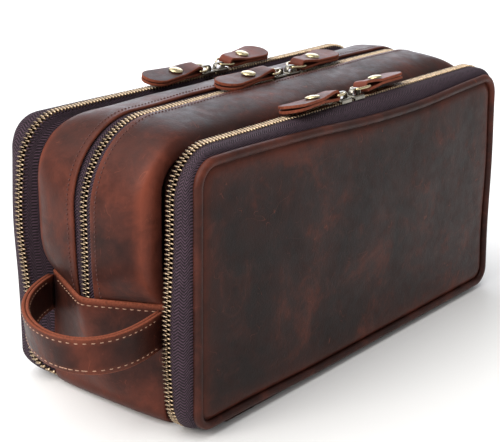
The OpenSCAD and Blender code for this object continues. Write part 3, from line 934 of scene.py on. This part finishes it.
def strap_line(level):
    """The strap's middle line in plan, as a function of a turn from one seam to the other:
    x = -(seam + reach cos^0.8), y = seam sin - lean cos. Its upper edge stands out further."""
    turn = np.radians(np.linspace(88.5, -88.5, 90))
    reach = (HANDLE_LOW[0] * -1 - PANEL_HALF - 0.5 * MM) - (1 - level) * 4 * MM
    x = -(PANEL_HALF - 4 * MM + (reach + 3 * MM) * np.cos(turn) ** 0.8)
    y = (SEAM_Y - 1 * MM) * np.sin(turn) - STRAP_LEAN * np.cos(turn)
    return np.stack([x, y], 1)


def strap_frame(level):
    """Points of the strap's middle line at a level, and its outward side there."""
    line = strap_line(level)
    along = unit(np.gradient(line, axis=0))
    return line, np.stack([along[:, 1], -along[:, 0]], 1)


def strap_grid(section):
    """Carries a section of (out, up from 0 to 1) along the strap."""
    rows = []
    for out, level in section:
        line, side = strap_frame(level)
        rows.append(np.column_stack([line + side * out,
                    np.full(len(line), HANDLE_LOW[2] + level * (HANDLE_HIGH[2] - HANDLE_LOW[2]))]))
    return np.stack(rows, 1)


def handle():
    """The strap handle: two layers of leather with raw edges, each a rounded band."""
    layers = (("outer", 0.05 * MM, STRAP_OUT), ("inner", STRAP_IN, -0.05 * MM))
    for name, low, high in layers:
        levels = np.array([0, 0.02, 0.2, 0.4, 0.6, 0.8, 0.98, 1.0])
        inset = np.array([0.35, 0, 0, 0, 0, 0, 0, 0.35]) * MM
        outer = [(high - i, v) for i, v in zip(inset, levels)]
        inner = [(low + i, v) for i, v in zip(inset, levels)][::-1]
        grid = strap_grid(outer + inner)
        edge = np.array([1, 0.35, 0, 0, 0, 0, 0.35, 1])
        raw = np.concatenate([edge, edge[::-1]])
        rub = 0.7 * bell(grid[..., 1] + 38 * MM, 7 * MM)
        shell = Shell().loft(grid, raw=raw, rub=rub)
        piece = shell.piece("handle_" + name + "_strap", finish("waxed_strap_leather"), None,
                            "strap_leather", ["handle_" + name + "_layer"])
        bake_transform(piece)


# ---------------------------------------------------------------- stitching


def small_stitch(long, thin):
    """One stitch: a five-sided grain of thread, thin at its ends, that sinks at both of them."""
    at = np.linspace(-0.5, 0.5, 5)
    girth = np.array([0.35, 0.95, 1.0, 0.95, 0.35]) * thin / 2
    sink = np.array([-0.55, -0.05, 0.12, -0.05, -0.55]) * thin
    turn = np.radians(np.arange(5) * 72 + 18)
    grid = np.zeros((5, 5, 3))
    grid[..., 0] = at[:, None] * long
    grid[..., 1] = np.cos(turn) * girth[:, None]
    grid[..., 2] = np.sin(turn) * girth[:, None] + sink[:, None]
    return grid.reshape(-1, 3), ring_faces(5, 5, False)


def stitch_line(shell, places, along, out, long, thin):
    """Adds a stitch at each place, lying along one direction and standing out along another."""
    across = np.cross(out, along)
    shape, faces = small_stitch(long, thin)
    shell.repeat(shape, faces, places, np.stack([along, across, out], 1))


def zip_stitching(half_name, sizes):
    """The row of dark stitches beside the middle zip."""
    side = HALVES[half_name]
    y = np.array([MOUTH_Y + 3.0 * MM])
    half, top, corner = body_columns(y, -0.02 * MM, sizes)
    x, z = arch_grid(half, top, corner, BASE_TOP - 2 * MM, counts=(0, 0, 40, 60, 60))
    places, axes = even_frames(x, z, side * y[0], sizes.zip_stitch)
    places = soften(places, sizes)
    shell = Shell()
    out = unit(axes[:, 2] + [0, side * 0.12, 0])
    stitch_line(shell, places, axes[:, 0], out, sizes.zip_stitch * 0.72, 0.85 * MM)
    return shell.piece(half_name + "_zip_stitching", finish("red_brown_thread"),
                       HALF_BODY[half_name], "leather")


def strap_stitching(sizes):
    """Two rows of pale stitches on each face of the strap, and a doubled few at its middle."""
    shell = Shell()
    for level in (0.115, 0.885):
        line, side = strap_frame(level)
        gone = np.concatenate([[0], np.cumsum(np.hypot(*np.diff(line, axis=0).T))])
        z = HANDLE_LOW[2] + level * (HANDLE_HIGH[2] - HANDLE_LOW[2])
        doubled = gone[-1] * 0.60 + np.arange(-3, 4) * 0.75 * sizes.strap_stitch
        runs = [np.arange(9 * MM, gone[-1] - 7 * MM, sizes.strap_stitch)]
        if level < 0.5:
            runs.append(doubled)
        for at in runs:
            place = np.stack([np.interp(at, gone, line[:, 0]), np.interp(at, gone, line[:, 1])], 1)
            normal = np.stack([np.interp(at, gone, side[:, 0]), np.interp(at, gone, side[:, 1])], 1)
            out = unit(np.column_stack([normal, 0 * at]))
            along = np.column_stack([-out[:, 1], out[:, 0], 0 * at])
            flat = np.column_stack([place, np.full(len(at), z)])
            for face in (STRAP_OUT, STRAP_IN):
                stitch_line(shell, flat + out * face, along, out * np.sign(face),
                            sizes.strap_stitch * PALE_LONG, PALE_THIN)
    made = shell.piece("strap_stitching", finish("beige_thread"), None, "strap_leather")
    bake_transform(made)
    return made


def base_stitching(sizes):
    """The row of pale stitches under the base leather's upper edge, at both ends."""
    lap = sizes.leather + SEWN_GAP
    y = np.linspace(-SEAM_Y + 4 * MM, SEAM_Y - 4 * MM, 200)
    half = PANEL_HALF - sizes.valley + (sizes.dome_end + sizes.valley) * ridge_share(y) + lap
    gone = np.concatenate([[0], np.cumsum(np.hypot(np.diff(y), np.diff(half)))])
    at = np.arange(2 * MM, gone[-1] - 1 * MM, sizes.strap_stitch)
    shell = Shell()
    for side in (-1, 1):
        x0, y0 = side * np.interp(at, gone, half), np.interp(at, gone, y)
        step = 1 * MM
        tx = side * (np.interp(at + step, gone, half) - np.interp(at - step, gone, half))
        ty = np.interp(at + step, gone, y) - np.interp(at - step, gone, y)
        along = unit(np.column_stack([tx, ty, 0 * at]))
        out = np.column_stack([along[:, 1] * side, -along[:, 0] * side, 0 * at])
        places = soft_dents(np.column_stack([x0, y0, np.full(len(at), BASE_TOP - 3 * MM)]),
                            sizes.dents)
        stitch_line(shell, places + out * 0.05 * MM, along, out,
                    sizes.strap_stitch * PALE_LONG, PALE_THIN)
    made = shell.piece("base_stitching", finish("beige_thread"), None, "leather")
    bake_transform(made)
    return made


# ---------------------------------------------------------------- sliders, links and pulls


def seat_of(zip_name, side_name, joint_name):
    """Where a pull's joint is, and its own axes there: X along the pull, Y its hinge, Z up."""
    stem = zip_name + "_" + side_name
    swing, fold = joint(stem + "_link_swing"), joint(stem + "_pull_fold")
    pivot, bar = np.array(swing["pos_m"], float), np.array(fold["pos_m"], float)
    along = (bar - pivot) / np.linalg.norm(bar - pivot)
    across = -np.array(swing["axis"], float)
    axes = np.stack([along, across, np.cross(along, across)])
    return (bar if joint_name == "fold" else pivot), axes


def level_seat(zip_name, side_name):
    """Where a slider's pivot is, and the slider's level axes, X towards its pull."""
    place, axes = seat_of(zip_name, side_name, "swing")
    way = np.sign(axes[0, 0])
    return place, np.diag([way, way, 1.0])


def put(points, place, axes):
    """Points in a piece's own axes, set in the bag's frame."""
    return np.asarray(points) @ axes + place


def slab(outline, levels):
    """Rings of an outline at each (z, inset) level, where inset moves points along its normals."""
    along = unit(np.roll(outline, -1, 0) - np.roll(outline, 1, 0))
    inward = np.stack([-along[:, 1], along[:, 0]], 1)
    rings = [np.column_stack([outline + inward * inset, np.full(len(outline), z)])
             for z, inset in levels]
    return np.stack(rings)


PLATE_UNDER_PIVOT = 3.8 * MM
# A slider's solids by level: height over the upper plate's underside and inset, in mm
PLATE_LEVELS = ((0, 0.5), (0.1, 0.1), (0.7, 0), (1.15, 0.35), (1.3, 0.9))
LOWER_LEVELS = ((-4.2, 0.7), (-4.0, 0.1), (-3.2, 0), (-3.0, 0.4))
FLANGE_LEVELS = ((-1.2, 0), (-1.0, 0), (0.5, 0))
WEDGE_LEVELS = ((-3.4, 0), (0.6, 0))
FLANGE_T = 0.84 * MM
FLANGE_IN = 0.95 * MM  # from the plate's edge to the middle of a flange
WEDGE_HALF = (1.6 * MM, 1.5 * MM)
BAIL_HALF = 4.1 * MM
BAIL_RISE = 3.6 * MM
BAIL_T = 1.0 * MM


def slider(zip_name, side_name):
    """A zip slider: a waisted plate over the chain, side flanges, a plate under it, a wedge that
    joins both at the crown end, and a bail that arches over the upper plate."""
    place, axes = level_seat(zip_name, side_name)
    stem = zip_name + "_" + side_name + "_slider"
    low, high = node_box(stem)
    long, wide = (high[0] - low[0]) / 2, (high[1] - low[1]) / 2
    plate_z = -PLATE_UNDER_PIVOT
    turn = np.radians(np.arange(0, 360, 10))
    plan = np.stack([signed_power(np.cos(turn), 2 / 4.2) * long,
                     signed_power(np.sin(turn), 2 / 4.2) * wide], 1)
    t = plan[:, 0] / long
    plan[:, 1] *= 1 - 0.16 * (t + 1) / 2 - 0.1 * np.cos(t * 1.5) ** 4
    flange = np.stack([np.linspace(-0.8, 0.8, 12) * long, np.zeros(12)], 1)
    flange = np.concatenate([flange + [0, FLANGE_T / 2], flange[::-1] - [0, FLANGE_T / 2]])
    wedge = np.stack([np.cos(turn) * WEDGE_HALF[0] - long * 0.82,
                      np.sin(turn) * WEDGE_HALF[1]], 1)
    rail = [0, wide - FLANGE_IN]
    solids = ((plan, PLATE_LEVELS), (plan * [1, 0.94], LOWER_LEVELS), (wedge, WEDGE_LEVELS),
              (flange - rail, FLANGE_LEVELS), (flange + rail, FLANGE_LEVELS))
    shell = Shell()
    for outline, levels in solids:
        levels = np.array(levels) * MM + [plate_z, 0]
        shell.loft(put(slab(outline, levels), place, axes))
    arc = np.linspace(0, math.pi, 26)
    line = np.stack([-signed_power(np.cos(arc), 0.6) * BAIL_HALF,
                     np.sin(arc) ** 0.62 * BAIL_RISE + plate_z + 0.9 * MM], 1)
    along = unit(np.gradient(line, axis=0))
    side = np.stack([-along[:, 1], along[:, 0]], 1)
    corner = np.radians(np.arange(0, 360, 45) + 22.5)
    half_width = (1.25 + 0.35 * np.abs(np.cos(arc))) * MM
    bail = carried(line, side, signed_power(np.sin(corner), 0.7) * BAIL_T / 2,
                   signed_power(np.cos(corner), 0.7) * half_width[:, None])
    shell.loft(put(bail, place, axes))
    return shell.piece(stem + "_cast", finish("dark_nickel"), stem, "nickel_slider", [stem],
                       crease=50)


WIRE_R = 0.78 * MM
LINK_HALF = 5.35 * MM  # half the link's width at its bar
LINK_NARROW = 2.3 * MM  # and at the slider
LINK_TAPER = 4.5 * MM  # how far before the bar it is at full width


def link(zip_name, side_name):
    """A wire link: a round wire carried round a five-sided loop with rounded corners."""
    place, axes = seat_of(zip_name, side_name, "swing")
    fold, _ = seat_of(zip_name, side_name, "fold")
    stem = zip_name + "_" + side_name + "_link"
    reach = np.linalg.norm(fold - place)
    shoulder = reach - LINK_TAPER
    corners = np.array([[0, -LINK_NARROW], [shoulder, -LINK_HALF], [reach, -LINK_HALF],
                        [reach, LINK_HALF], [shoulder, LINK_HALF], [0, LINK_NARROW]])
    dense = np.concatenate([a + (b - a) * np.linspace(0, 1, 14, endpoint=False)[:, None]
                            for a, b in zip(corners, np.roll(corners, -1, 0))])
    for _ in range(7):  # each pass rounds the corners a little
        dense = (np.roll(dense, 1, 0) + 2 * dense + np.roll(dense, -1, 0)) / 4
    along = unit(np.roll(dense, -1, 0) - np.roll(dense, 1, 0))
    side = np.stack([along[:, 1], -along[:, 0]], 1)
    turn = np.radians(np.arange(0, 360, 36))
    wire = carried(dense, side, np.cos(turn) * WIRE_R, np.sin(turn) * WIRE_R)
    flat = wire[..., [0, 2, 1]]  # the loop lies in the link's own XY plane
    shell = Shell().loft(put(flat, place, axes), closed=True)
    return shell.piece(stem + "_wire", finish("pale_brass"), stem, "brass_wire", [stem])


# The six pulls by zip and side, and how red each is rubbed
REDNESS = {("main", "left"): 0.1, ("main", "right"): 0.6, ("front", "left"): 0.6,
           ("front", "right"): 0.8, ("rear", "left"): 0.0, ("rear", "right"): 0.7}
TAB_LONG = 43 * MM
TAB_HALF = 9 * MM  # half its width at the round end
FOLD_HALF = 4.25 * MM  # and at the fold
TAB_T = 1.6 * MM
FOLD_R = 2.45 * MM
TAB_LIFT = (-1.2 * MM, -0.4 * MM, -0.8 * MM)  # how far a tab's end has bent, by turns
TAB_SPREAD = (0.7 * MM, 0.4 * MM, 0.9 * MM)  # how far its layers have parted past the rivet
RIVET_AT = 17.5 * MM
RIVET_R = 4.4 * MM
RIVET_HOLD = 3 * MM  # how far either side of its middle a rivet holds the layers together


def tab_half_width(x):
    """Half the tab's width at x: it widens evenly from its fold and ends in a half circle."""
    straight_end = TAB_LONG - TAB_HALF
    straight = FOLD_HALF + (TAB_HALF - FOLD_HALF) * np.clip(x / straight_end, 0, 1) ** 0.8
    past = np.clip((x - straight_end) / TAB_HALF, 0, 1)
    return straight * np.sqrt(np.clip(1 - past**2, 0.0012, 1))


def pull_tab(zip_name, side_name, lift, spread, redness):
    """A leather pull: a strip folded round the link's bar, with both layers cut to one outline.
    The strip's side view is a half circle round the bar and two layers that meet at the rivet."""
    place, axes = seat_of(zip_name, side_name, "fold")
    body = zip_name + "_" + side_name + "_pull"
    stem = zip_name + "_" + side_name
    # Along the upper layer from its round end to the fold, round the bar, and back below
    tip = np.sin(np.radians([87, 80, 72, 63, 53, 42, 30, 16])) * TAB_HALF
    rest = np.concatenate([TAB_LONG - TAB_HALF + tip, np.linspace(TAB_LONG - TAB_HALF, 0, 26)])
    gap_at = np.clip(rest / (RIVET_AT - RIVET_HOLD), 0, 1)
    open_loop = 1.55 * MM * (1 - gap_at**1.4)
    held = RIVET_AT + RIVET_HOLD
    past_rivet = np.clip((rest - held) / (TAB_LONG - held), 0, 1) ** 2
    upper = 0.86 * MM + open_loop + spread * past_rivet
    lower = -0.86 * MM - open_loop * 0.8 - 0.15 * spread * past_rivet
    bend = lift * (rest / TAB_LONG) ** 2
    round_bar = np.linspace(0, math.pi, 14)[1:-1]
    fold = np.stack([-FOLD_R * np.sin(round_bar), FOLD_R * np.cos(round_bar)], 1)
    line = np.concatenate([np.stack([rest, upper + bend], 1), fold,
                           np.stack([rest[::-1], lower[::-1] + bend[::-1]], 1)])
    along = unit(np.gradient(line, axis=0))
    side = np.stack([along[:, 1], -along[:, 0]], 1)
    wide = tab_half_width(np.clip(line[:, 0], 0, TAB_LONG))
    # A rounded section: across the width on the outer face, then back on the inner face
    share = np.array([-1, -0.985, -0.9, -0.6, -0.2, 0.2, 0.6, 0.9, 0.985, 1])
    out = np.array([0.3, 0.46, 0.5, 0.5, 0.5, 0.5, 0.5, 0.5, 0.46, 0.3]) * TAB_T
    share = np.concatenate([share, share[::-1]])
    out = np.concatenate([out, -out[::-1]])
    grid = carried(line, side, out, wide[:, None] * share)
    edge = np.clip((np.abs(share) - 0.93) / 0.055, 0, 1) ** 2
    raw = np.broadcast_to(edge, grid.shape[:2]).copy()
    raw[:2] = raw[-2:] = 1
    crest = bell(line[:, 0], 5 * MM)
    rub = np.clip(redness + 0.7 * crest, 0, 1)[:, None]
    shell = Shell().loft(put(grid, place, axes), raw=raw, rub=rub)
    return shell.piece(stem + "_leather_pull", finish("waxed_leather"), body, "tab_leather",
                       [stem + "_pull_tab"])


def rivet(zip_name, side_name):
    """A domed rivet: a cap and a flat foot turned round an axis through both layers."""
    stem = zip_name + "_" + side_name
    place, axes = seat_of(zip_name, side_name, "fold")
    cap_z, foot_z = 3.6 * MM, -2.8 * MM
    share = np.array([0.02, 0.3, 0.55, 0.78, 0.92, 0.99, 1.0, 0.93, 0.34, 0.34, 0.8, 0.86, 0.8,
                      0.02])
    drop = np.array([0, 0.07, 0.24, 0.52, 0.84, 1.15, 1.45, 1.6, 1.6]) * MM
    z = np.concatenate([cap_z - drop, [foot_z + 0.8 * MM, foot_z + 0.8 * MM, foot_z + 0.4 * MM,
                        foot_z, foot_z]])
    turn = np.radians(np.arange(0, 360, 11.25))
    grid = np.zeros((len(share), len(turn), 3))
    grid[..., 0] = RIVET_AT + share[:, None] * RIVET_R * np.cos(turn)
    grid[..., 1] = share[:, None] * RIVET_R * np.sin(turn)
    grid[..., 2] = z[:, None]
    shell = Shell().loft(put(grid, place, axes))
    return shell.piece(stem + "_domed_rivet", finish("pale_brass"), stem + "_pull",
                       "brass_rivet", [stem + "_rivet"], crease=40)


# ---------------------------------------------------------------- stage and camera


FLOOR_HALF = 40.0
CAMERA_AT = (-0.603, -0.461, 0.320)
CAMERA_TURN = (51.44, 18.31, 0.71)  # to the right of +Y, down and rolled, in degrees


def soft_light(name, place, aim, size, power, tint):
    """A square soft box that faces a point."""
    data = bpy.data.lights.new(name, "AREA")
    data.shape, data.size, data.energy = "SQUARE", size, power
    data.color = linear(tint)
    lamp = in_scene(name, data)
    lamp.location = place
    lamp.rotation_euler = (Vector(aim) - Vector(place)).to_track_quat("-Z", "Y").to_euler()


def stage():
    """A plain pale floor, a white surround, a broad light overhead and two soft boxes."""
    mesh = bpy.data.meshes.new("floor")
    corners = np.array([(-1, -1, 0), (1, -1, 0), (1, 1, 0), (-1, 1, 0)]) * FLOOR_HALF
    mesh.from_pydata(corners, [], [(0, 1, 2, 3)])
    material, shader = new_material("pale_floor")
    feed(shader, {"Base Color": rgba(linear("#f6f6f5")), "Roughness": 0.9})
    mesh.materials.append(material)
    floor = in_scene("floor", mesh)
    world = bpy.data.worlds.new("studio")
    world.use_nodes = True
    background = world.node_tree.nodes["Background"]
    background.inputs[0].default_value = rgba(linear("#ffffff"))
    background.inputs[1].default_value = 0.5
    bpy.context.scene.world = world
    data = bpy.data.lights.new("overhead", "SUN")
    data.energy, data.angle = 2.4, math.radians(70)
    lamp = in_scene("overhead", data)
    lamp.rotation_euler = (math.radians(-14), math.radians(-22), 0)
    soft_light("behind", (0.95, 0.85, 0.62), (0, 0, 0.1), 1.0, 7, "#eef3ff")
    soft_light("left", (-1.25, 0.1, 0.8), (-0.1, 0, 0.08), 0.7, 9, "#fff8f2")
    bpy.context.scene.view_settings.view_transform = "Standard"


def camera():
    """The camera, at the bag's left front and a little above it."""
    data = bpy.data.cameras.new("camera")
    data.lens = 93.168
    data.sensor_width = 36
    data.clip_start = 0.01
    made = in_scene("camera", data)
    yaw, pitch, roll = (math.radians(v) for v in CAMERA_TURN)
    aim = Vector((math.sin(yaw) * math.cos(pitch), math.cos(yaw) * math.cos(pitch),
                  -math.sin(pitch)))
    turn = aim.to_track_quat("-Z", "Y").to_matrix().to_4x4() @ Matrix.Rotation(roll, 4, "Z")
    made.matrix_world = Matrix.Translation(CAMERA_AT) @ turn
    bpy.context.scene.camera = made


# ---------------------------------------------------------------- operators


class KITBAG_OT_stage(bpy.types.Operator):
    """Sets the floor, the lights and the camera"""

    bl_idname = "kitbag.stage"
    bl_label = "Stage and Camera"

    def execute(self, context):
        stage()
        camera()
        return {"FINISHED"}


class KITBAG_OT_middle(bpy.types.Operator):
    """Builds the middle compartment's gussets, zip and stitching"""

    bl_idname = "kitbag.middle"
    bl_label = "Middle Compartment"

    def execute(self, context):
        sizes = context.scene.kit_bag_sizes
        for half_name in HALVES:
            gusset(half_name, sizes)
            main_tape(half_name, sizes)
            main_teeth(half_name, sizes)
            zip_stitching(half_name, sizes)
        return {"FINISHED"}


class KITBAG_OT_base(bpy.types.Operator):
    """Builds the base leather and its stitching"""

    bl_idname = "kitbag.base"
    bl_label = "Base Leather"

    def execute(self, context):
        base(context.scene.kit_bag_sizes)
        base_stitching(context.scene.kit_bag_sizes)
        return {"FINISHED"}


class KITBAG_OT_pockets(bpy.types.Operator):
    """Builds the side pockets' zips, piping and panels"""

    bl_idname = "kitbag.pockets"
    bl_label = "Side Pockets"

    def execute(self, context):
        sizes = context.scene.kit_bag_sizes
        for half_name in HALVES:
            for outer in (False, True):
                pocket_tape(half_name, outer, sizes)
                pocket_teeth(half_name, outer, sizes)
            piping(half_name, sizes)
            panel(half_name, sizes)
        return {"FINISHED"}


class KITBAG_OT_handle(bpy.types.Operator):
    """Builds the strap handle and its stitching"""

    bl_idname = "kitbag.handle"
    bl_label = "Strap Handle"

    def execute(self, context):
        handle()
        strap_stitching(context.scene.kit_bag_sizes)
        return {"FINISHED"}


class KITBAG_OT_pulls(bpy.types.Operator):
    """Builds the sliders, links, leather pulls and rivets"""

    bl_idname = "kitbag.pulls"
    bl_label = "Sliders and Pulls"

    def execute(self, context):
        for number, (zip_name, side_name) in enumerate(REDNESS):
            slider(zip_name, side_name)
            link(zip_name, side_name)
            pull_tab(zip_name, side_name, TAB_LIFT[number % 3], TAB_SPREAD[number % 3],
                     REDNESS[zip_name, side_name])
            rivet(zip_name, side_name)
        return {"FINISHED"}


class KITBAG_OT_hidden_pieces(bpy.types.Operator):
    """Finishes the CAD pieces that stay: walls, linings, boards and bottom strips"""

    bl_idname = "kitbag.hidden_pieces"
    bl_label = "Walls, Linings and Boards"

    def execute(self, context):
        finishes = {"wall": "waxed_leather", "wall_lining": "cotton_lining",
                    "pocket_bottom": "waxed_leather", "panel_board": "fibre_board",
                    "panel_lining": "cotton_lining"}
        named = {h + "_" + part: f for h in HALVES for part, f in finishes.items()}
        named["base_board"] = "fibre_board"
        for node_name, finish_name in named.items():
            mesh = frame["nodes"][node_name].data
            mesh.materials.clear()
            mesh.materials.append(finish(finish_name))
        return {"FINISHED"}


STEPS = (KITBAG_OT_stage, KITBAG_OT_middle, KITBAG_OT_base, KITBAG_OT_pockets, KITBAG_OT_handle,
         KITBAG_OT_pulls, KITBAG_OT_hidden_pieces)


class KITBAG_PT_panel(bpy.types.Panel):
    """Lists the bag's steps, sizes and colours"""

    bl_idname = "KITBAG_PT_panel"
    bl_label = "Shaving Kit Bag"
    bl_space_type = "VIEW_3D"
    bl_region_type = "UI"
    bl_category = "Kit Bag"

    def draw(self, context):
        for step in STEPS:
            self.layout.operator(step.bl_idname)
        for group in (context.scene.kit_bag_sizes, context.scene.kit_bag_colours):
            for key in group.__annotations__:
                self.layout.prop(group, key)


CLASSES = (KitBagSizes, KitBagColours, *STEPS, KITBAG_PT_panel)


def register():
    for cls in CLASSES:
        bpy.utils.register_class(cls)
    bpy.types.Scene.kit_bag_sizes = PointerProperty(type=KitBagSizes)
    bpy.types.Scene.kit_bag_colours = PointerProperty(type=KitBagColours)


def unregister():
    del bpy.types.Scene.kit_bag_colours
    del bpy.types.Scene.kit_bag_sizes
    for cls in reversed(CLASSES):
        bpy.utils.unregister_class(cls)


def main():
    register()
    for step in STEPS:
        group, name = step.bl_idname.split(".")
        getattr(getattr(bpy.ops, group), name)()


if __name__ == "__main__":
    main()
